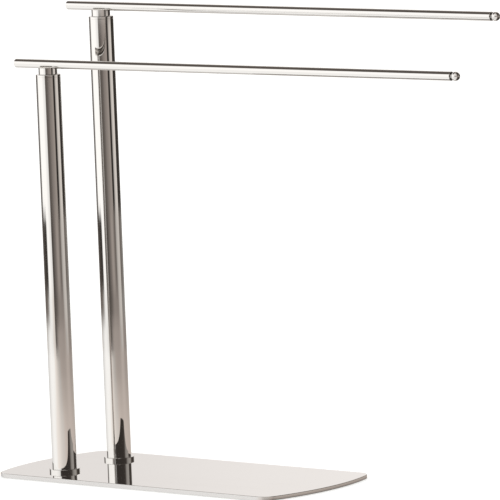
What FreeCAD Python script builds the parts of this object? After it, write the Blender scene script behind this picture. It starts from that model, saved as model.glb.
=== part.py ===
import FreeCAD, Part
import Sketcher
import math
import os

# Freestanding towel stand: a flat polished plate carries two round posts of
# different heights.  Each post ends in a turned cap in which the stem of a
# narrower neck turns, and each neck carries one thin bar with a small ball
# at its long end and a plug in its short end.
#
# Frame, millimetres: +Z up, +X along the long side of the plate towards the
# free ends of the bars, +Y from the low front post to the tall rear post.
# The origin is the centre of the plate, on the surface that the stand
# rests on.

App = FreeCAD
os.makedirs("parts", exist_ok=True)
doc = App.newDocument("towel_stand")

# ---------------------------------------------------------------- dimensions
sheet = doc.addObject("Spreadsheet::Sheet", "Sizes")
sheet.Label = "Sizes"
CELLS = [
    # base plate
    ("plate_half_length", 214.6), ("plate_half_width", 93.4),
    ("plate_end_radius", 264.4), ("plate_corner_radius", 18.4),
    ("plate_thickness", 4.5), ("plate_edge_round", 0.6),
    # pads under the plate
    ("pad_height", 1.0), ("pad_radius", 9.0), ("pad_edge", 0.3),
    ("pad_inset_long", 179.0), ("pad_inset_wide", 71.5),
    # where the posts stand
    ("post_offset", -135.0), ("front_post_row", -47.7), ("rear_post_row", 47.7),
    ("front_post_top", 455.2), ("rear_post_top", 513.5),
    # posts
    ("tube_radius", 14.0), ("tube_wall", 1.5),
    ("collar_radius", 17.4), ("collar_height", 3.6), ("collar_edge", 0.25),
    ("plug_height", 22.0), ("plug_lead", 0.8),
    # countersunk screw through the plate
    ("csk_head_radius", 6.0), ("csk_sink", 0.2), ("csk_shank_radius", 3.0),
    ("csk_hole_radius", 3.2), ("csk_length", 20.0),
    ("csk_key_radius", 2.309), ("csk_key_depth", 2.2),
    # cap on the tube
    ("cap_head", 2.8), ("cap_round", 0.4), ("cap_seam", 0.15),
    ("cap_spigot", 20.5), ("cap_bore_radius", 7.5),
    # bush in the cap
    ("bush_flange_radius", 9.0), ("bush_flange", 1.0), ("bush_play", 0.05),
    # neck and stem
    ("neck_radius", 10.6), ("neck_gap", 0.15), ("neck_bar_rise", 11.55),
    ("neck_saddle", 1.3), ("neck_edge", 0.15),
    ("stem_radius", 6.0), ("stem_past_cap", 1.0), ("screw_hole_radius", 2.65),
    # bar: its tube's reach to each side of the post's axis, the ball at its
    # long end and the domed plug in its short end
    ("bar_radius", 5.0), ("bar_wall", 1.0), ("bar_end_edge", 0.25),
    ("front_bar_short", 47.2), ("front_bar_long", 576.0),
    ("rear_bar_short", 50.8), ("rear_bar_long", 578.5),
    ("end_ball_radius", 5.0), ("end_ball_out", 5.2), ("end_neck_radius", 3.4),
    ("end_cap_spigot", 12.0), ("end_plug_dome", 0.4),
    # the rear arm stands turned a little towards the front, in degrees
    ("front_arm_turn", 0.0), ("rear_arm_turn", -2.3),
    ("insert_half", 17.0), ("insert_depth", 7.4),
    # screw, washers
    ("screw_radius", 2.5), ("screw_length", 40.0),
    ("screw_head_radius", 4.25), ("screw_head_height", 5.0),
    ("screw_key_radius", 2.309), ("screw_key_depth", 2.5),
    ("washer_radius", 9.5), ("washer_thickness", 1.5),
    ("spring_inner", 6.3), ("spring_outer", 10.0), ("spring_thickness", 0.8),
]
NUM = {}
for row, (alias, value) in enumerate(CELLS, start=1):
    cell = "B%d" % row
    sheet.set("A%d" % row, alias)
    sheet.set(cell, "%g" % value)
    sheet.setAlias(cell, alias)
    NUM[alias] = float(value)
doc.recompute()


class Dim(object):
    """A length known both as a number and as a spreadsheet expression."""

    def __init__(self, number, text=None):
        self.n = float(number)
        self.t = text if text is not None else "(%.9g)" % number

    @staticmethod
    def of(other):
        return other if isinstance(other, Dim) else Dim(other)

    def __add__(self, other):
        o = Dim.of(other)
        return Dim(self.n + o.n, "(%s + %s)" % (self.t, o.t))

    __radd__ = __add__

    def __sub__(self, other):
        o = Dim.of(other)
        return Dim(self.n - o.n, "(%s - %s)" % (self.t, o.t))

    def __rsub__(self, other):
        return Dim.of(other) - self

    def __mul__(self, other):
        o = Dim.of(other)
        return Dim(self.n * o.n, "(%s * %s)" % (self.t, o.t))

    __rmul__ = __mul__

    def __truediv__(self, other):
        o = Dim.of(other)
        return Dim(self.n / o.n, "(%s / %s)" % (self.t, o.t))

    def __neg__(self):
        return Dim(0.0) - self

    def root(self):
        return Dim(math.sqrt(self.n), "sqrt(%s)" % self.t)


def S(alias):
    return Dim(NUM[alias], "Sizes.%s" % alias)


# ------------------------------------------------------------- sketch helpers
def origin_plane(body, role):
    for feature in body.Origin.OriginFeatures:
        if feature.Role == role:
            return feature
    raise RuntimeError("no plane " + role)


def new_sketch(body, name, role="XZ_Plane", offset=None):
    sk = body.newObject("Sketcher::SketchObject", name)
    sk.AttachmentSupport = [(origin_plane(body, role), "")]
    sk.MapMode = "FlatFace"
    if offset is not None:
        sk.AttachmentOffset = App.Placement(App.Vector(0, 0, offset.n), App.Rotation())
        sk.setExpression("AttachmentOffset.Base.z", offset.t)
    return sk


def pin_x(sk, geo, pos, value):
    if abs(value.n) < 1e-9:
        sk.addConstraint(Sketcher.Constraint("PointOnObject", geo, pos, -2))
        return
    index = sk.addConstraint(Sketcher.Constraint("DistanceX", -1, 1, geo, pos, value.n))
    sk.setExpression("Constraints[%d]" % index, value.t)


def pin_y(sk, geo, pos, value):
    if abs(value.n) < 1e-9:
        sk.addConstraint(Sketcher.Constraint("PointOnObject", geo, pos, -1))
        return
    index = sk.addConstraint(Sketcher.Constraint("DistanceY", -1, 1, geo, pos, value.n))
    sk.setExpression("Constraints[%d]" % index, value.t)


def add_profile(sk, points, arcs=None):
    """Closed outline through points [(x, y)].  arcs maps the index of the
    edge that starts at that point to (centre x, centre y, radius, ccw)."""
    arcs = arcs or {}
    pts = [(Dim.of(x), Dim.of(y)) for x, y in points]
    count = len(pts)
    geos = []
    for i in range(count):
        (x0, y0), (x1, y1) = pts[i], pts[(i + 1) % count]
        a = App.Vector(x0.n, y0.n, 0)
        b = App.Vector(x1.n, y1.n, 0)
        if i in arcs:
            cx, cy, radius, ccw = arcs[i]
            c = App.Vector(Dim.of(cx).n, Dim.of(cy).n, 0)
            t0 = math.atan2(a.y - c.y, a.x - c.x)
            t1 = math.atan2(b.y - c.y, b.x - c.x)
            if not ccw:
                t0, t1 = t1, t0
            circle = Part.Circle(c, App.Vector(0, 0, 1), Dim.of(radius).n)
            geos.append(sk.addGeometry(Part.ArcOfCircle(circle, t0, t1), False))
        else:
            geos.append(sk.addGeometry(Part.LineSegment(a, b), False))

    def end(i, which):
        # sketch point numbers: 1 start, 2 end; a clockwise arc is stored reversed
        if i in arcs and not arcs[i][3]:
            return 2 if which == 1 else 1
        return which

    for i in range(count):
        j = (i + 1) % count
        sk.addConstraint(Sketcher.Constraint("Coincident", geos[i], end(i, 2), geos[j], end(j, 1)))
    for i in range(count):
        pin_x(sk, geos[i], end(i, 1), pts[i][0])
        pin_y(sk, geos[i], end(i, 1), pts[i][1])
    for i in arcs:
        index = sk.addConstraint(Sketcher.Constraint("Radius", geos[i], Dim.of(arcs[i][2]).n))
        sk.setExpression("Constraints[%d]" % index, Dim.of(arcs[i][2]).t)
    return geos


def add_circle(sk, cx, cy, radius):
    cx, cy, radius = Dim.of(cx), Dim.of(cy), Dim.of(radius)
    g = sk.addGeometry(Part.Circle(App.Vector(cx.n, cy.n, 0), App.Vector(0, 0, 1), radius.n), False)
    if abs(cx.n) < 1e-9 and abs(cy.n) < 1e-9:
        sk.addConstraint(Sketcher.Constraint("Coincident", g, 3, -1, 1))
    else:
        pin_x(sk, g, 3, cx)
        pin_y(sk, g, 3, cy)
    index = sk.addConstraint(Sketcher.Constraint("Radius", g, radius.n))
    sk.setExpression("Constraints[%d]" % index, radius.t)
    return g


def hexagon(corner):
    """Corners of a key socket whose corner circle has the given radius."""
    half = corner / 2.0
    side = corner * 0.8660254
    return [(corner, 0.0), (half, side), (-half, side), (-corner, 0.0), (-half, -side), (half, -side)]


# --------------------------------------------------------------- body helpers
NODES = []


def new_body(name, x=0.0, y=0.0, z=0.0, keep=True, turn=0.0):
    body = doc.addObject("PartDesign::Body", name)
    body.Label = name
    x, y, z = Dim.of(x), Dim.of(y), Dim.of(z)
    body.Placement = App.Placement(App.Vector(x.n, y.n, z.n),
                                   App.Rotation(App.Vector(0, 0, 1), turn))
    body.setExpression("Placement.Base.x", x.t)
    body.setExpression("Placement.Base.y", y.t)
    body.setExpression("Placement.Base.z", z.t)
    if keep:
        NODES.append(body)
    return body


def revolve(body, name, points, arcs=None, axis="V_Axis"):
    sk = new_sketch(body, name + "_outline", "XZ_Plane")
    add_profile(sk, points, arcs)
    feature = body.newObject("PartDesign::Revolution", name)
    feature.Profile = sk
    feature.ReferenceAxis = (sk, [axis])
    feature.Angle = 360.0
    doc.recompute()
    return feature


def pad(body, name, sk, length):
    feature = body.newObject("PartDesign::Pad", name)
    feature.Profile = sk
    length = Dim.of(length)
    feature.Length = length.n
    feature.setExpression("Length", length.t)
    doc.recompute()
    return feature


def pocket(body, name, sk, length, both=False, turned=False):
    """Cut and prove that it took material away."""
    doc.recompute()
    before = body.Shape.Volume
    feature = body.newObject("PartDesign::Pocket", name)
    feature.Profile = sk
    length = Dim.of(length)
    feature.Length = length.n
    feature.setExpression("Length", length.t)
    if both:
        feature.SideType = "Symmetric"
    feature.Reversed = turned
    doc.recompute()
    if not body.Shape.Volume < before - 0.01:
        raise RuntimeError("cut %s took nothing away" % name)
    return feature


def edge_names(shape, test):
    return ["Edge%d" % (i + 1) for i, e in enumerate(shape.Edges) if test(e)]


# ----------------------------------------------------------------- base plate
plate_bottom = S("pad_height")
plate_top = S("pad_height") + S("plate_thickness")

plate = new_body("base_plate", 0, 0, plate_bottom)
# The short ends bow outwards on a large radius; corner arcs run tangentially
# from those bows into the straight long sides.
corner = S("plate_corner_radius")
bow = S("plate_end_radius")
bow_centre = S("plate_half_length") - bow              # x of the right bow's centre
corner_y = S("plate_half_width") - corner
inner = bow - corner
corner_x = bow_centre + (inner * inner - corner_y * corner_y).root()
touch_x = bow_centre + (corner_x - bow_centre) * bow / inner
touch_y = corner_y * bow / inner
outline = new_sketch(plate, "plate_outline", "XY_Plane")
half_w = S("plate_half_width")
add_profile(
    outline,
    [(-corner_x, -half_w), (corner_x, -half_w), (touch_x, -touch_y), (touch_x, touch_y),
     (corner_x, half_w), (-corner_x, half_w), (-touch_x, touch_y), (-touch_x, -touch_y)],
    {1: (corner_x, -corner_y, corner, True), 2: (bow_centre, 0.0, bow, True),
     3: (corner_x, corner_y, corner, True), 5: (-corner_x, corner_y, corner, True),
     6: (-bow_centre, 0.0, bow, True), 7: (-corner_x, -corner_y, corner, True)})
pad(plate, "plate_slab", outline, S("plate_thickness"))
# countersunk holes under the posts: a cone from the underside, then a
# straight clearance hole
post_x = S("post_offset")
rows = [S("front_post_row"), S("rear_post_row")]
cone_depth = S("csk_head_radius") + S("csk_sink") - S("csk_hole_radius")
for tag, row_y in zip(("front", "rear"), rows):
    sk = new_sketch(plate, tag + "_hole_outline", "XZ_Plane", -row_y)
    before = plate.Shape.Volume
    wide = S("csk_head_radius") + S("csk_sink")
    add_profile(sk, [
        (post_x, 0.0), (post_x + wide, 0.0), (post_x + S("csk_hole_radius"), cone_depth),
        (post_x + S("csk_hole_radius"), S("plate_thickness")), (post_x, S("plate_thickness"))])
    cut = plate.newObject("PartDesign::Groove", tag + "_hole")
    cut.Profile = sk
    cut.ReferenceAxis = (sk, ["Edge5"])
    cut.Angle = 360.0
    doc.recompute()
    if not plate.Shape.Volume < before - 100.0:
        raise RuntimeError("countersink %s took nothing away" % tag)
rounding = plate.newObject("PartDesign::Fillet", "plate_edge")
rims = []
for i, e in enumerate(plate.Shape.Edges):
    # the outer rims of the top and bottom faces, not the holes' rims
    box = e.BoundBox
    flat = box.ZLength < 1e-6
    at_post = any(abs(e.CenterOfMass.y - r.n) < 1.0 and abs(e.CenterOfMass.x - post_x.n) < 1.0
                  for r in rows)
    if flat and not at_post:
        rims.append("Edge%d" % (i + 1))
rounding.Base = (plate.Tip if plate.Tip != rounding else cut, rims)
rounding.Radius = NUM["plate_edge_round"]
rounding.setExpression("Radius", "Sizes.plate_edge_round")
doc.recompute()

# ------------------------------------------------------------------ foot pads
# one near each corner of the plate and one in the middle
pads = []
PAD_PLACES = (("left_front", -1.0, -1.0), ("right_front", 1.0, -1.0), ("right_rear", 1.0, 1.0),
              ("left_rear", -1.0, 1.0), ("middle", 0.0, 0.0))
for tag, x_sign, y_sign in PAD_PLACES:
    disc = doc.addObject("Part::Cylinder", "pad_" + tag)
    disc.setExpression("Radius", "Sizes.pad_radius")
    disc.setExpression("Height", "Sizes.pad_height")
    disc.setExpression("Placement.Base.x", "Sizes.pad_inset_long * (%g)" % x_sign)
    disc.setExpression("Placement.Base.y", "Sizes.pad_inset_wide * (%g)" % y_sign)
    pads.append(disc)
doc.recompute()
softened = []
for disc in pads:
    # the edge that meets the ground is broken a little
    edge = 1 + min(range(len(disc.Shape.Edges)),
                   key=lambda k: (disc.Shape.Edges[k].BoundBox.ZMax, -disc.Shape.Edges[k].Length))
    soft = doc.addObject("Part::Chamfer", disc.Name + "_soft")
    soft.Base = disc
    soft.Edges = [(edge, NUM["pad_edge"], NUM["pad_edge"])]
    softened.append(soft)
doc.recompute()
foot_pads = doc.addObject("Part::Compound", "foot_pads")
foot_pads.Label = "foot_pads"
foot_pads.Links = softened
NODES.append(foot_pads)
doc.recompute()

# ---------------------------------------------------------- screws in the base
screw_bodies = []
for tag, row_y in zip(("front", "rear"), rows):
    body = new_body("base_screw_" + tag, post_x, row_y, plate_bottom + S("csk_sink"), keep=False)
    head_r, shank_r = S("csk_head_radius"), S("csk_shank_radius")
    tip = S("csk_length")
    revolve(body, body.Name + "_turned", [
        (0.0, 0.0), (head_r, 0.0), (shank_r, head_r - shank_r),
        (shank_r, tip - 0.6), (shank_r - 0.6, tip), (0.0, tip)])
    sk = new_sketch(body, body.Name + "_key", "XY_Plane")
    add_profile(sk, hexagon(S("csk_key_radius")))
    pocket(body, body.Name + "_socket", sk, S("csk_key_depth"), turned=True)
    screw_bodies.append(body)
base_screws = doc.addObject("Part::Compound", "base_screws")
base_screws.Label = "base_screws"
base_screws.Links = screw_bodies
NODES.append(base_screws)
doc.recompute()


# ------------------------------------------------------------- posts and arms
def build_post(side, row_y, height, bar_short, bar_long, turn):
    tube_r = S("tube_radius")
    bore_r = S("tube_radius") - S("tube_wall")
    top = plate_top + height          # top of the cap, where the neck begins

    # collar round the foot of the tube
    collar = new_body(side + "_base_collar", post_x, row_y, plate_top)
    r, h, e = S("collar_radius"), S("collar_height"), S("collar_edge")
    revolve(collar, collar.Name + "_ring",
            [(tube_r, 0.0), (r, 0.0), (r, h - e), (r - e, h), (tube_r + 0.2, h), (tube_r, h - 0.2)])

    # post tube, open at both ends, its upper rim broken for the hairline seam
    tube = new_body(side + "_post_tube", post_x, row_y, plate_top)
    length = height - S("cap_head")
    seam = S("cap_seam")
    revolve(tube, tube.Name + "_wall",
            [(bore_r, 0.0), (tube_r, 0.0), (tube_r, length - seam), (tube_r - seam, length),
             (bore_r, length)])

    # plug in the foot of the tube, tapped for the screw
    plug = new_body(side + "_foot_plug", post_x, row_y, plate_top)
    lead = S("plug_lead")
    tapped = S("csk_shank_radius")
    revolve(plug, plug.Name + "_turned",
            [(tapped + 0.5, 0.0), (bore_r, 0.0), (bore_r, S("plug_height") - lead),
             (bore_r - lead, S("plug_height")), (tapped, S("plug_height")), (tapped, 0.5)])

    # cap: a head as wide as the tube, its rim hardly rounded, and a spigot
    # pressed into the tube; the bush sits in its bore and counterbore
    cap = new_body(side + "_top_cap", post_x, row_y, top)
    rnd = S("cap_round")
    head, spigot = S("cap_head"), S("cap_spigot")
    cb_r, cb_h = S("bush_flange_radius"), S("bush_flange")
    bore = S("cap_bore_radius")
    revolve(cap, cap.Name + "_turned", [
        (bore, -head - spigot), (bore_r - 0.8, -head - spigot), (bore_r, -head - spigot + 0.8),
        (bore_r, -head), (tube_r - seam, -head), (tube_r, -head + seam),
        (tube_r, -rnd), (tube_r - rnd, 0.0), (cb_r, 0.0), (cb_r, -cb_h), (bore, -cb_h)],
        {6: (tube_r - rnd, -rnd, rnd, True)})

    # flanged bush, flush with the top of the cap and with the spigot's end
    bush = new_body(side + "_swivel_bush", post_x, row_y, top)
    run = S("stem_radius") + S("bush_play")
    revolve(bush, bush.Name + "_turned", [
        (run, -head - spigot), (bore, -head - spigot), (bore, -cb_h), (cb_r, -cb_h),
        (cb_r, 0.0), (run + 0.3, 0.0), (run, -0.3)])

    # neck and stem in one piece; the bar lies in a shallow saddle on top
    neck = new_body(side + "_neck", post_x, row_y, top, turn=turn)
    gap = S("neck_gap")
    stem_r = S("stem_radius")
    stem_end = -head - spigot - S("stem_past_cap")
    hole = S("screw_hole_radius")
    neck_r = S("neck_radius")
    nk_top = S("neck_bar_rise") - S("bar_radius") + S("neck_saddle")
    edge = S("neck_edge")
    revolve(neck, neck.Name + "_turned", [
        (hole, stem_end), (stem_r - 0.3, stem_end), (stem_r, stem_end + 0.3), (stem_r, gap),
        (neck_r - edge, gap), (neck_r, gap + edge), (neck_r, nk_top - edge),
        (neck_r - edge, nk_top), (hole, nk_top)])
    sk = new_sketch(neck, neck.Name + "_saddle_outline", "YZ_Plane")
    add_circle(sk, 0.0, S("neck_bar_rise"), S("bar_radius"))
    pocket(neck, neck.Name + "_saddle", sk, neck_r * 3.0, both=True)

    # ---- the bar: axis along X, local origin above the post's axis
    bar_z = top + S("neck_bar_rise")
    bar_r = S("bar_radius")
    bar_in = S("bar_radius") - S("bar_wall")
    broken = S("bar_end_edge")
    bar = new_body(side + "_bar", post_x, row_y, bar_z, turn=turn)
    x0 = -bar_short
    x1 = bar_long
    revolve(bar, bar.Name + "_wall", [
        (x0, bar_in), (x1, bar_in), (x1, bar_r - broken), (x1 - broken, bar_r),
        (x0 + broken, bar_r), (x0, bar_r - broken)], axis="H_Axis")
    sk = new_sketch(bar, bar.Name + "_hole_outline", "XY_Plane")
    add_circle(sk, 0.0, 0.0, hole)
    pocket(bar, bar.Name + "_hole", sk, bar_r * 1.5)

    # slug inside the bar above the neck, tapped from below
    slug = new_body(side + "_bar_insert", post_x, row_y, bar_z, turn=turn)
    half = S("insert_half")
    revolve(slug, slug.Name + "_turned", [
        (-half, 0.0), (half, 0.0), (half, bar_in - 0.5), (half - 0.5, bar_in),
        (-half + 0.5, bar_in), (-half, bar_in - 0.5)], axis="H_Axis")
    depth = S("insert_depth")
    sk = new_sketch(slug, slug.Name + "_tap_outline", "XY_Plane", -bar_in - 0.5 + depth)
    add_circle(sk, 0.0, 0.0, S("screw_radius"))
    pocket(slug, slug.Name + "_tap", sk, depth)

    # ball at the long end: a spigot inside the bar, flush with its end, then a
    # short narrower neck and a ball as thick as the bar
    ball_r, out, nr = S("end_ball_radius"), S("end_ball_out"), S("end_neck_radius")
    sink = (ball_r * ball_r - nr * nr).root()               # ball's centre to where the neck meets it
    spig = S("end_cap_spigot")
    body = new_body(side + "_bar_right_cap", post_x, row_y, bar_z, turn=turn)
    centre = bar_long + out
    revolve(body, body.Name + "_turned", [
        (bar_long - spig, 0.0), (centre + ball_r, 0.0), (centre - sink, nr), (bar_long, nr),
        (bar_long, bar_in), (bar_long - spig + 0.6, bar_in), (bar_long - spig, bar_in - 0.6)],
        {1: (centre, 0.0, ball_r, True)}, axis="H_Axis")
    # plug in the short end: flush with the bar's end, its face a shallow dome
    dome = S("end_plug_dome")
    dome_r = (bar_in * bar_in + dome * dome) / (dome * 2.0)
    body = new_body(side + "_bar_left_cap", post_x, row_y, bar_z, turn=turn)
    revolve(body, body.Name + "_turned", [
        (-bar_short - dome, 0.0), (spig - bar_short, 0.0), (spig - bar_short, bar_in - 0.6),
        (spig - bar_short - 0.6, bar_in), (-bar_short, bar_in)],
        {4: (dome_r - dome - bar_short, 0.0, dome_r, True)}, axis="H_Axis")

    # spring washer between the cap and the plain washer, as flat as it is
    # when the screw is tight, with room to turn
    spring = new_body(side + "_spring_washer", post_x, row_y, top, turn=turn)
    slack = (S("stem_past_cap") - S("spring_thickness")) / 2.0
    s0 = stem_end + slack
    revolve(spring, spring.Name + "_ring", [
        (S("spring_inner"), s0), (S("spring_outer"), s0),
        (S("spring_outer"), s0 + S("spring_thickness")), (S("spring_inner"), s0 + S("spring_thickness"))])

    # plain washer held against the end of the stem
    washer = new_body(side + "_stem_washer", post_x, row_y, top, turn=turn)
    w0 = stem_end - S("washer_thickness")
    revolve(washer, washer.Name + "_ring", [
        (S("screw_radius") + 0.1, w0), (S("washer_radius") - 0.2, w0), (S("washer_radius"), w0 + 0.2),
        (S("washer_radius"), stem_end), (S("screw_radius") + 0.1, stem_end)])

    # cap screw from below, through washer, stem and neck into the slug
    screw = new_body(side + "_neck_screw", post_x, row_y, top, turn=turn)
    sr, hr, hh = S("screw_radius"), S("screw_head_radius"), S("screw_head_height")
    tip = w0 + S("screw_length")
    revolve(screw, screw.Name + "_turned", [
        (0.0, w0 - hh), (hr - 0.4, w0 - hh), (hr, w0 - hh + 0.4), (hr, w0), (sr, w0),
        (sr, tip - 0.5), (sr - 0.5, tip), (0.0, tip)])
    sk = new_sketch(screw, screw.Name + "_key", "XY_Plane", w0 - hh)
    add_profile(sk, hexagon(S("screw_key_radius")))
    pocket(screw, screw.Name + "_socket", sk, S("screw_key_depth"), turned=True)


build_post("front", rows[0], S("front_post_top"), S("front_bar_short"), S("front_bar_long"),
           NUM["front_arm_turn"])
build_post("rear", rows[1], S("rear_post_top"), S("rear_bar_short"), S("rear_bar_long"),
           NUM["rear_arm_turn"])
doc.recompute()

# --------------------------------------------------------------------- checks
for obj in doc.Objects:
    state = " ".join(obj.State)
    if "Invalid" in state or "Error" in state:
        raise RuntimeError("%s is %s" % (obj.Label, state))
for node in NODES:
    shape = node.Shape
    if shape.isNull() or not shape.isValid() or not shape.Solids:
        raise RuntimeError("%s has no valid solid" % node.Label)
    if node.TypeId == "PartDesign::Body" and len(shape.Solids) != 1:
        raise RuntimeError("%s is not one solid" % node.Label)

total = None
for node in NODES:
    node.Shape.exportStep("parts/%s.step" % node.Label)
    b = node.Shape.optimalBoundingBox()
    total = App.BoundBox(b) if total is None else total
    total.add(b)
    print("%-22s solids %d volume %10.2f  x %8.2f %8.2f  y %8.2f %8.2f  z %8.2f %8.2f" % (
        node.Label, len(node.Shape.Solids), node.Shape.Volume,
        b.XMin, b.XMax, b.YMin, b.YMax, b.ZMin, b.ZMax))
print("nodes %d" % len(NODES))
print("whole x %.2f %.2f y %.2f %.2f z %.2f %.2f" % (
    total.XMin, total.XMax, total.YMin, total.YMax, total.ZMin, total.ZMax))
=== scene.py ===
import math

import bpy
from mathutils import Matrix, Vector

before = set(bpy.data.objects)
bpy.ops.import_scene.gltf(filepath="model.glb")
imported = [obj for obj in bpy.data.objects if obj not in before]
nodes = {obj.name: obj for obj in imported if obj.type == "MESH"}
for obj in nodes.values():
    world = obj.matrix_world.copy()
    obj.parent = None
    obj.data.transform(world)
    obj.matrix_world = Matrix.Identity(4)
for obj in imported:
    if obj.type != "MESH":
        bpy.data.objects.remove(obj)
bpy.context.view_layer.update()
scene = bpy.context.scene

# ------------------------------------------------------------------ camera
# A long lens from the front right, a little above the bars' height.  The
# image is square, 500 x 500.
AZIMUTH = math.radians(39.613)
ELEVATION = math.radians(6.587)
ROLL = math.radians(2.221)
TARGET = Vector((0.15189, -0.0477, 0.27238))
DISTANCE = 6.3156

back = Vector((math.sin(AZIMUTH) * math.cos(ELEVATION),
               -math.cos(AZIMUTH) * math.cos(ELEVATION),
               math.sin(ELEVATION)))
level = Vector((math.cos(AZIMUTH), math.sin(AZIMUTH), 0.0))
rise = back.cross(level)
right = level * math.cos(ROLL) - rise * math.sin(ROLL)
up = level * math.sin(ROLL) + rise * math.cos(ROLL)
cam_data = bpy.data.cameras.new("camera")
cam = bpy.data.objects.new("camera", cam_data)
scene.collection.objects.link(cam)
cam_data.sensor_width = 36.0
cam_data.lens = 411.33
cam_data.clip_start = 0.05
cam_data.clip_end = 200.0
eye = TARGET + back * DISTANCE
cam.matrix_world = Matrix((
    (right.x, up.x, back.x, eye.x),
    (right.y, up.y, back.y, eye.y),
    (right.z, up.z, back.z, eye.z),
    (0.0, 0.0, 0.0, 1.0)))
scene.camera = cam

scene.view_settings.view_transform = "Standard"
scene.view_settings.look = "None"
scene.view_settings.exposure = 0.0
scene.view_settings.gamma = 1.0


# ------------------------------------------------------------- node helpers
class Tree:
    """A small helper that adds linked shader nodes."""

    def __init__(self, tree):
        self.tree = tree
        self.column = 0

    def add(self, kind, inputs=None, **settings):
        n = self.tree.nodes.new(kind)
        self.column += 1
        n.location = (180 * (self.column % 12), -220 * (self.column // 12))
        for key, value in settings.items():
            setattr(n, key, value)
        for key, value in (inputs or {}).items():
            self.put(n.inputs[key], value)
        return n

    def put(self, socket, value):
        if isinstance(value, bpy.types.NodeSocket):
            self.tree.links.new(value, socket)
        else:
            socket.default_value = value

    def math(self, operation, a, b=None, c=None, clamp=False):
        n = self.add("ShaderNodeMath", operation=operation, use_clamp=clamp)
        for i, value in enumerate((a, b, c)):
            if value is not None:
                self.put(n.inputs[i], value)
        return n.outputs[0]

    def dot(self, a, b):
        n = self.add("ShaderNodeVectorMath", operation="DOT_PRODUCT")
        self.put(n.inputs[0], a)
        self.put(n.inputs[1], b)
        return n.outputs["Value"]

    def span(self, value, lo, hi, out_lo=0.0, out_hi=1.0, smooth=False):
        n = self.add("ShaderNodeMapRange", interpolation_type="SMOOTHSTEP" if smooth else "LINEAR")
        self.put(n.inputs["Value"], value)
        n.inputs["From Min"].default_value = lo
        n.inputs["From Max"].default_value = hi
        n.inputs["To Min"].default_value = out_lo
        n.inputs["To Max"].default_value = out_hi
        return n.outputs["Result"]

    def mix(self, factor, a, b, blend="MIX"):
        n = self.add("ShaderNodeMix", data_type="RGBA", blend_type=blend)
        self.put(n.inputs[0], factor)
        self.put(n.inputs[6], a)
        self.put(n.inputs[7], b)
        return n.outputs[2]

    def ramp(self, factor, stops, interpolation="LINEAR"):
        n = self.add("ShaderNodeValToRGB")
        n.color_ramp.interpolation = interpolation
        elements = n.color_ramp.elements
        while len(elements) > 1:
            elements.remove(elements[-1])
        first = True
        for at, colour in stops:
            e = elements[0] if first else elements.new(at)
            e.position = at
            e.color = (colour[0], colour[1], colour[2], 1.0)
            first = False
        self.put(n.inputs["Fac"], factor)
        return n.outputs["Color"]


# ------------------------------------------------------- studio surroundings
# The surroundings that polished metal sees, given by compass direction and
# height: a large soft box on the left, an unlit room on the camera's side
# seen over the edge of a pale table, a grey panel on the right and a pale
# backdrop behind.  Angles run from the camera's side, positive to the right.
WHITE = (1.0, 0.985, 0.965)
WARM = (1.0, 0.925, 0.865)
PALE = (1.0, 0.957, 0.93)
TAUPE = (1.0, 0.87, 0.79)
GREY = (1.0, 0.93, 0.87)
DARK = (1.0, 0.86, 0.76)


def around(stops):
    """[(angle, brightness, tint)] to ramp stops with the seam at +-180."""
    made = []
    for angle, light, tint in stops:
        made.append(((angle + 180.0) / 360.0, tuple(light * t for t in tint)))
    return made


HORIZON = [
    (-180, .12, DARK), (-146, .18, GREY), (-124, .20, GREY), (-118, 1.05, WHITE), (-108, 1.28, WHITE),
    (-62, 1.26, WHITE), (-46, 1.05, WHITE), (-33.5, 1.0, WHITE), (-29.5, .14, DARK), (-20, .13, DARK),
    (-8, .17, TAUPE), (5, .27, TAUPE), (22, .33, TAUPE), (34, .39, TAUPE), (41, .37, TAUPE), (45.0, .035, DARK),
    (59.5, .025, DARK), (63.5, .44, GREY), (74, .70, GREY), (86, .80, GREY), (97, .74, GREY),
    (104, .06, DARK), (118, .035, DARK), (140, .06, DARK), (165, .10, DARK), (180, .12, DARK)]
MIDDLE = [
    (-180, .12, DARK), (-150, .13, DARK), (-125, .08, DARK), (-100, .05, DARK), (-84, .05, DARK),
    (-79, 1.15, WHITE), (-62, 1.24, WHITE), (-46, 1.05, WHITE), (-34, .98, WHITE), (-30, .10, DARK),
    (-22, .08, DARK), (-12, .15, TAUPE), (4, .24, TAUPE), (13, .35, TAUPE), (24, .41, TAUPE), (32, .36, TAUPE),
    (42, .21, TAUPE), (53, .17, DARK), (60, .42, GREY), (74, .63, GREY), (90, .66, GREY), (99, .30, GREY),
    (114, .18, DARK), (136, .27, GREY), (180, .3, GREY)]
LOWER = [
    (-180, .19, DARK), (-131, .17, DARK), (-112, .20, DARK), (-97, .34, GREY), (-84, .76, WHITE),
    (-76, 1.06, WHITE), (-58, 1.08, WHITE), (-42, .90, WARM), (-35.5, .80, WARM), (-31, .11, DARK),
    (-18, .11, DARK), (-6, .14, TAUPE), (8, .25, TAUPE), (18, .305, TAUPE), (44, .30, TAUPE),
    (57, .31, TAUPE), (67, .55, GREY), (78, .66, GREY), (92, .66, GREY), (99, .29, GREY),
    (122, .28, GREY), (147, .36, GREY), (180, .36, GREY)]
VERGE = [
    (-180, .55, GREY), (-150, .66, GREY), (-124, .80, WHITE), (-106, 1.03, WHITE), (-90, 1.14, WHITE),
    (-62, 1.0, WHITE), (-48, .86, WARM), (-36, .76, WARM), (-31, .12, DARK), (-26, .12, DARK),
    (-17, .22, TAUPE), (-7, .37, TAUPE), (4, .42, TAUPE), (22, .42, TAUPE), (48, .40, TAUPE), (60, .46, TAUPE),
    (72, .50, GREY), (84, .60, GREY), (97, .46, TAUPE), (112, .35, TAUPE), (132, .31, TAUPE), (180, .34, TAUPE)]
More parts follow.
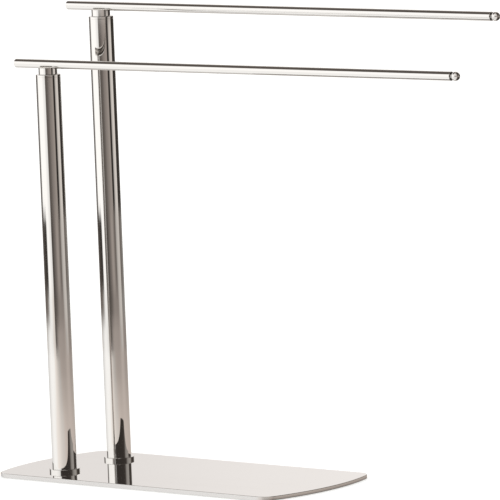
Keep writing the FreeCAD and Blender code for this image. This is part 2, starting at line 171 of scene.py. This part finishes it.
TABLE = [
    (-180, .52, GREY), (-150, .74, WHITE), (-122, .97, WHITE), (-100, 1.14, WHITE), (-76, 1.16, WHITE),
    (-57, 1.13, WHITE), (-45, .98, WARM), (-34, .86, WARM), (-24, .73, WARM), (-14, .60, WARM), (-4, .52, WARM),
    (8, .475, TAUPE), (24, .44, TAUPE), (46, .445, TAUPE), (60, .49, TAUPE), (73, .55, TAUPE), (86, .52, TAUPE),
    (100, .43, TAUPE), (132, .41, TAUPE), (165, .45, TAUPE), (180, .52, GREY)]
NEAR_TABLE = [
    (-180, .64, GREY), (-150, .82, WHITE), (-122, 1.0, WHITE), (-100, 1.15, WHITE), (-76, 1.13, WHITE),
    (-54, 1.02, WARM), (-38, .96, WARM), (-22, .86, WARM), (-10, .79, WARM), (4, .75, WARM),
    (24, .70, TAUPE), (44, .65, TAUPE), (76, .65, TAUPE), (104, .64, TAUPE), (124, .61, TAUPE),
    (160, .61, TAUPE), (180, .64, GREY)]
BAND = [
    (-180, .12, DARK), (-146, .18, GREY), (-124, .20, GREY), (-118, 1.05, WHITE), (-108, 1.28, WHITE),
    (-62, 1.26, WHITE), (-46, 1.05, WHITE), (-33, .95, WHITE), (20, .80, GREY), (44, .40, GREY), (56, .06, DARK),
    (150, .04, DARK), (165, .10, DARK), (180, .12, DARK)]
LOW_WALL = [
    (-180, .93, PALE), (-178.8, .87, PALE), (-177.5, .855, PALE), (-170, .84, PALE), (-164, .14, DARK),
    (-138, .09, DARK), (-130, .80, WHITE),
    (-118, 1.22, WHITE), (-62, 1.26, WHITE), (-44, 1.10, WHITE), (-34, .95, WHITE), (-29, .06, DARK),
    (-15, .045, DARK), (20, .045, DARK), (48, .05, DARK), (57, .09, DARK), (66, .28, GREY),
    (79, .38, GREY), (95, .42, GREY), (104, .15, DARK), (112, .07, DARK), (138, .05, DARK), (150, .35, GREY),
    (164, .90, PALE), (172, .95, PALE), (177, .97, PALE), (179, .955, PALE), (180, .93, PALE)]
WALL = [
    (-180, .80, WARM), (-150, .85, WHITE), (-126, 1.20, WHITE), (-100, 1.26, WHITE), (-60, 1.24, WHITE),
    (-42, 1.0, WHITE), (-26, .95, WHITE), (10, .85, GREY), (30, .70, GREY), (46, .14, DARK),
    (60, .11, DARK), (112, .11, DARK), (140, .42, GREY), (162, .80, WARM), (180, .80, WARM)]
BOOM = [
    (-180, .50, GREY), (-170, .14, DARK), (-150, .11, DARK), (-96, .12, DARK), (-84, .15, DARK),
    (-74, 1.0, WHITE), (-48, 1.0, WHITE), (-22, .95, WHITE), (20, .80, GREY), (44, .12, DARK),
    (60, .05, DARK), (130, .05, DARK), (150, .34, GREY), (172, .50, GREY), (180, .50, GREY)]
OVERHEAD = [
    (-180, .42, GREY), (-162, .32, GREY), (-146, .13, DARK), (-90, .16, DARK), (-70, .60, GREY), (-30, .62, GREY),
    (28, .50, GREY), (47, .07, DARK), (130, .07, DARK), (150, .30, GREY), (170, .42, GREY), (180, .42, GREY)]
DEEP = [
    (-180, .50, GREY), (-162, .64, GREY), (-142, .84, WHITE), (-122, .98, WHITE), (-100, 1.14, WHITE),
    (-76, 1.10, WHITE), (-54, .96, WHITE), (-31, .90, WHITE), (20, .88, WHITE), (34, .60, GREY),
    (47, .07, DARK), (130, .05, DARK), (150, .30, GREY), (172, .46, GREY), (180, .50, GREY)]


def build_world():
    world = bpy.data.worlds.new("studio")
    scene.world = world
    world.use_nodes = True
    t = Tree(world.node_tree)
    t.tree.nodes.clear()
    direction = t.add("ShaderNodeVectorMath", operation="NORMALIZE")
    t.put(direction.inputs[0], t.add("ShaderNodeTexCoord").outputs["Generated"])
    d = direction.outputs["Vector"]
    ahead = t.dot(d, (math.sin(AZIMUTH), -math.cos(AZIMUTH), 0.0))
    aside = t.dot(d, (math.cos(AZIMUTH), math.sin(AZIMUTH), 0.0))
    turn = t.math("MULTIPLY_ADD", t.math("ARCTAN2", aside, ahead), 1.0 / (2 * math.pi), 0.5)
    height = t.dot(d, (0.0, 0.0, 1.0))
    tilt = t.math("MULTIPLY", t.math("ARCSINE", height), 180.0 / math.pi)

    # from the steepest downward view to straight up
    layers = [DEEP, NEAR_TABLE, TABLE, VERGE, LOWER, MIDDLE, HORIZON, BAND, LOW_WALL, WALL, BOOM, OVERHEAD]
    between = [(-14.0, -11.5), (-8.42, -7.60), (-7.58, -7.49), (-7.40, -7.08), (-7.04, -6.80), (-6.25, -6.05),
               (-4.4, -3.8), (0.8, 2.4), (11.0, 17.0), (33.0, 38.4), (57.0, 66.0)]
    colour = t.ramp(turn, around(layers[0]))
    for layer, (lo, hi) in zip(layers[1:], between):
        colour = t.mix(t.span(tilt, lo, hi, smooth=True), colour, t.ramp(turn, around(layer)))

    path = t.add("ShaderNodeLightPath")
    seen = t.add("ShaderNodeBackground", {"Color": colour, "Strength": 1.0})
    soft = t.add("ShaderNodeBackground", {"Color": (1.0, 0.995, 0.985, 1.0), "Strength": 1.05})
    both = t.add("ShaderNodeMixShader")
    t.put(both.inputs[0], path.outputs["Is Glossy Ray"])
    t.put(both.inputs[1], soft.outputs[0])
    t.put(both.inputs[2], seen.outputs[0])
    out = t.add("ShaderNodeOutputWorld")
    t.put(out.inputs["Surface"], both.outputs[0])


build_world()


# ------------------------------------------------------------------- floor
def build_floor():
    half = 30.0
    mesh = bpy.data.meshes.new("floor")
    mesh.from_pydata([(-half, -half, 0), (half, -half, 0), (half, half, 0), (-half, half, 0)], [], [(0, 1, 2, 3)])
    floor = bpy.data.objects.new("floor", mesh)
    scene.collection.objects.link(floor)
    mat = bpy.data.materials.new("floor")
    mat.use_nodes = True
    t = Tree(mat.node_tree)
    t.tree.nodes.clear()
    # a pale sheet that is lit a little from below, like a light table
    glow = t.add("ShaderNodeEmission", {"Color": (1.0, 1.0, 0.99, 1.0), "Strength": 0.52})
    matt = t.add("ShaderNodeBsdfDiffuse", {"Color": (0.62, 0.62, 0.615, 1.0)})
    sheet = t.add("ShaderNodeAddShader")
    t.put(sheet.inputs[0], glow.outputs[0])
    t.put(sheet.inputs[1], matt.outputs[0])
    clear = t.add("ShaderNodeBsdfTransparent")
    side = t.add("ShaderNodeMixShader")
    t.put(side.inputs[0], t.add("ShaderNodeNewGeometry").outputs["Backfacing"])
    t.put(side.inputs[1], sheet.outputs[0])
    t.put(side.inputs[2], clear.outputs[0])
    out = t.add("ShaderNodeOutputMaterial")
    t.put(out.inputs["Surface"], side.outputs[0])
    mesh.materials.append(mat)
    floor.visible_glossy = False
    return floor


build_floor()


# ----------------------------------------------------------------- materials
def new_material(name):
    mat = bpy.data.materials.new(name)
    mat.use_nodes = True
    t = Tree(mat.node_tree)
    t.tree.nodes.clear()
    bsdf = t.add("ShaderNodeBsdfPrincipled")
    out = t.add("ShaderNodeOutputMaterial")
    t.put(out.inputs["Surface"], bsdf.outputs[0])
    return mat, t, bsdf


def noise(t, where, scale, detail=2.0, rough=0.5, distortion=0.0):
    n = t.add("ShaderNodeTexNoise", {"Vector": where, "Scale": scale, "Detail": detail,
                                     "Roughness": rough, "Distortion": distortion})
    return n.outputs["Fac"]


def stretched(t, scale):
    m = t.add("ShaderNodeMapping")
    t.put(m.inputs["Vector"], t.add("ShaderNodeTexCoord").outputs["Object"])
    m.inputs["Scale"].default_value = scale
    return m.outputs["Vector"]


def chrome(name, along, base=(0.80, 0.79, 0.775), rough=0.022, edge=None, seams=None):
    """Decorative chrome: a mirror with faint polishing lines along one axis,
    a very slight waviness of the plated surface, and thin hazy wipe marks.
    edge gives the lower and upper height of upright faces that are rougher,
    and darker with painted shade, the bowed ones more so towards the ground.
    seams paints shade into narrow grooves, darkening the metal where ambient
    occlusion finds them: "all" of them, or those on "ends" of a bar only."""
    mat, t, bsdf = new_material(name)
    bsdf.inputs["Metallic"].default_value = 1.0
    place = t.add("ShaderNodeTexCoord").outputs["Object"]
    line_scale = {"x": (14.0, 900.0, 900.0), "y": (900.0, 14.0, 900.0), "z": (900.0, 900.0, 14.0)}[along]
    lines = noise(t, stretched(t, line_scale), 1.0, 3.0, 0.6)
    wipe_scale = {"x": (5.0, 60.0, 60.0), "y": (60.0, 5.0, 60.0), "z": (60.0, 60.0, 5.0)}[along]
    wipes = noise(t, stretched(t, wipe_scale), 1.0, 4.0, 0.6, 0.4)
    cloud = noise(t, place, 9.0, 3.0, 0.55)
    haze = t.math("MULTIPLY", t.span(wipes, 0.50, 0.78, smooth=True), t.span(cloud, 0.42, 0.68, smooth=True))
    roughness = t.math("MULTIPLY_ADD", haze, 0.05, rough)
    roughness = t.math("MULTIPLY_ADD", t.span(lines, 0.62, 0.80), 0.012, roughness)
    t.put(bsdf.inputs["Roughness"], roughness)
    dim = tuple(0.955 * c for c in base) + (1.0,)
    tone = t.mix(haze, base + (1.0,), dim)
    tone = t.mix(t.span(cloud, 0.3, 0.7, 0.0, 0.35), tone, (base[0] * 0.985, base[1] * 0.975, base[2] * 0.96, 1.0))
    # Painted shade: upright faces are multiplied by 0.84, and the bowed ends by 0.48 at the lower height rising to
    # 1.0 at the upper, so they read darker towards the ground; only their added roughness is a real finish.
    if edge:
        facing = t.add("ShaderNodeSeparateXYZ")
        t.put(facing.inputs[0], t.add("ShaderNodeTexCoord").outputs["Normal"])
        point = t.add("ShaderNodeSeparateXYZ")
        t.put(point.inputs[0], place)
        upright = t.span(t.math("ABSOLUTE", facing.outputs["Z"]), 0.8, 0.35)
        blunt = t.span(t.math("ABSOLUTE", facing.outputs["Z"]), 0.98, 0.80)
        t.put(bsdf.inputs["Roughness"], t.math("MULTIPLY_ADD", blunt, 0.10, roughness))
        bowed = t.span(t.math("ABSOLUTE", facing.outputs["X"]), 0.3, 0.85)
        shade_towards_ground = t.span(point.outputs["Z"], edge[0], edge[1], 0.48, 1.0)
        painted_edge_shade = t.mix(bowed, (0.84, 0.84, 0.85, 1.0), shade_towards_ground)
        tone = t.mix(upright, tone, t.mix(1.0, tone, painted_edge_shade, "MULTIPLY"))
    # Painted shade: where ambient occlusion finds a narrow groove, the colour goes to near-black (0.10); with
    # "ends" only on faces that point along x.
    if seams:
        near = t.add("ShaderNodeAmbientOcclusion", {"Distance": 0.0025}, samples=8)
        seam_shade_mask = t.span(near.outputs["AO"], 0.45, 0.88)
        if seams == "ends":
            facing = t.add("ShaderNodeSeparateXYZ")
            t.put(facing.inputs[0], t.add("ShaderNodeTexCoord").outputs["Normal"])
            beside = t.span(t.math("ABSOLUTE", facing.outputs["X"]), 0.8, 0.5)
            seam_shade_mask = t.math("MAXIMUM", seam_shade_mask, beside)
        tone = t.mix(seam_shade_mask, (0.10, 0.095, 0.09, 1.0), tone)
    t.put(bsdf.inputs["Base Color"], tone)
    ripple = noise(t, place, 38.0, 1.0, 0.4)
    bump_lines = t.add("ShaderNodeBump", {"Height": lines, "Strength": 0.10, "Distance": 0.00002})
    bump = t.add("ShaderNodeBump", {"Height": ripple, "Strength": 0.25, "Distance": 0.00004,
                                    "Normal": bump_lines.outputs["Normal"]})
    t.put(bsdf.inputs["Normal"], bump.outputs["Normal"])
    return mat


def turned_metal(name, base, tint, rough, axis="z", ring=2600.0):
    """Machined or plated metal with fine tool rings round one axis."""
    mat, t, bsdf = new_material(name)
    bsdf.inputs["Metallic"].default_value = 1.0
    place = t.add("ShaderNodeTexCoord").outputs["Object"]
    scale = {"x": (ring, 20.0, 20.0), "z": (20.0, 20.0, ring)}[axis]
    rings = noise(t, stretched(t, scale), 1.0, 2.0, 0.6)
    spots = noise(t, place, 420.0, 4.0, 0.6)
    patch = noise(t, place, 70.0, 3.0, 0.5)
    tone = t.mix(t.span(patch, 0.35, 0.7), base + (1.0,), tint + (1.0,))
    tone = t.mix(t.span(spots, 0.60, 0.75, 0.0, 0.5), tone, tuple(0.62 * c for c in base) + (1.0,))
    t.put(bsdf.inputs["Base Color"], tone)
    t.put(bsdf.inputs["Roughness"], t.math("MULTIPLY_ADD", rings, 0.16, t.span(spots, 0.3, 0.8, rough - 0.04, rough + 0.08)))
    bump = t.add("ShaderNodeBump", {"Height": rings, "Strength": 0.35, "Distance": 0.00006})
    t.put(bsdf.inputs["Normal"], bump.outputs["Normal"])
    return mat


def rubber(name):
    mat, t, bsdf = new_material(name)
    place = t.add("ShaderNodeTexCoord").outputs["Object"]
    grain = noise(t, place, 2600.0, 3.0, 0.65)
    dust = noise(t, place, 160.0, 5.0, 0.6)
    tone = t.mix(t.span(dust, 0.52, 0.80, 0.0, 0.55), (0.018, 0.018, 0.019, 1.0), (0.085, 0.082, 0.078, 1.0))
    t.put(bsdf.inputs["Base Color"], tone)
    t.put(bsdf.inputs["Roughness"], t.span(grain, 0.3, 0.7, 0.62, 0.88))
    bsdf.inputs["Specular IOR Level"].default_value = 0.38
    bump = t.add("ShaderNodeBump", {"Height": grain, "Strength": 0.6, "Distance": 0.00008})
    t.put(bsdf.inputs["Normal"], bump.outputs["Normal"])
    return mat


def moulded(name):
    mat, t, bsdf = new_material(name)
    place = t.add("ShaderNodeTexCoord").outputs["Object"]
    flow = noise(t, stretched(t, (60.0, 60.0, 18.0)), 1.0, 3.0, 0.5, 0.6)
    grain = noise(t, place, 3200.0, 2.0, 0.5)
    tone = t.mix(t.span(flow, 0.3, 0.7), (0.80, 0.79, 0.755, 1.0), (0.72, 0.705, 0.66, 1.0))
    t.put(bsdf.inputs["Base Color"], tone)
    t.put(bsdf.inputs["Roughness"], t.span(grain, 0.3, 0.7, 0.30, 0.46))
    bump = t.add("ShaderNodeBump", {"Height": grain, "Strength": 0.3, "Distance": 0.00005})
    t.put(bsdf.inputs["Normal"], bump.outputs["Normal"])
    return mat


tube_chrome = chrome("chrome_tube_z", "z")
bar_chrome = chrome("chrome_bar_x", "x", seams="ends")
end_chrome = chrome("chrome_end_x", "x", seams="all")
plate_chrome = chrome("mirror_plate_x", "x", rough=0.03, edge=(0.0012, 0.0052))
zinc = turned_metal("zinc_plated", (0.62, 0.63, 0.65), (0.70, 0.68, 0.60), 0.34)
steel = turned_metal("turned_steel", (0.52, 0.52, 0.53), (0.44, 0.43, 0.42), 0.30)
brass = turned_metal("turned_brass", (0.72, 0.56, 0.29), (0.60, 0.44, 0.20), 0.26, axis="x")
spring = turned_metal("spring_steel", (0.36, 0.36, 0.39), (0.30, 0.25, 0.20), 0.32)
pads = rubber("pad_rubber")
acetal = moulded("acetal")

FINISH = {"base_plate": plate_chrome, "foot_pads": pads, "base_screws": zinc}
for side in ("front", "rear"):
    for part, mat in (("base_collar", tube_chrome), ("post_tube", tube_chrome), ("foot_plug", steel),
                      ("top_cap", tube_chrome), ("swivel_bush", acetal), ("neck", tube_chrome),
                      ("bar", bar_chrome), ("bar_insert", brass), ("bar_left_cap", end_chrome),
                      ("bar_right_cap", end_chrome), ("spring_washer", spring), ("stem_washer", zinc),
                      ("neck_screw", zinc)):
        FINISH[side + "_" + part] = mat
for name, mat in FINISH.items():
    slots = nodes[name].material_slots
    for s in slots:
        s.material = mat
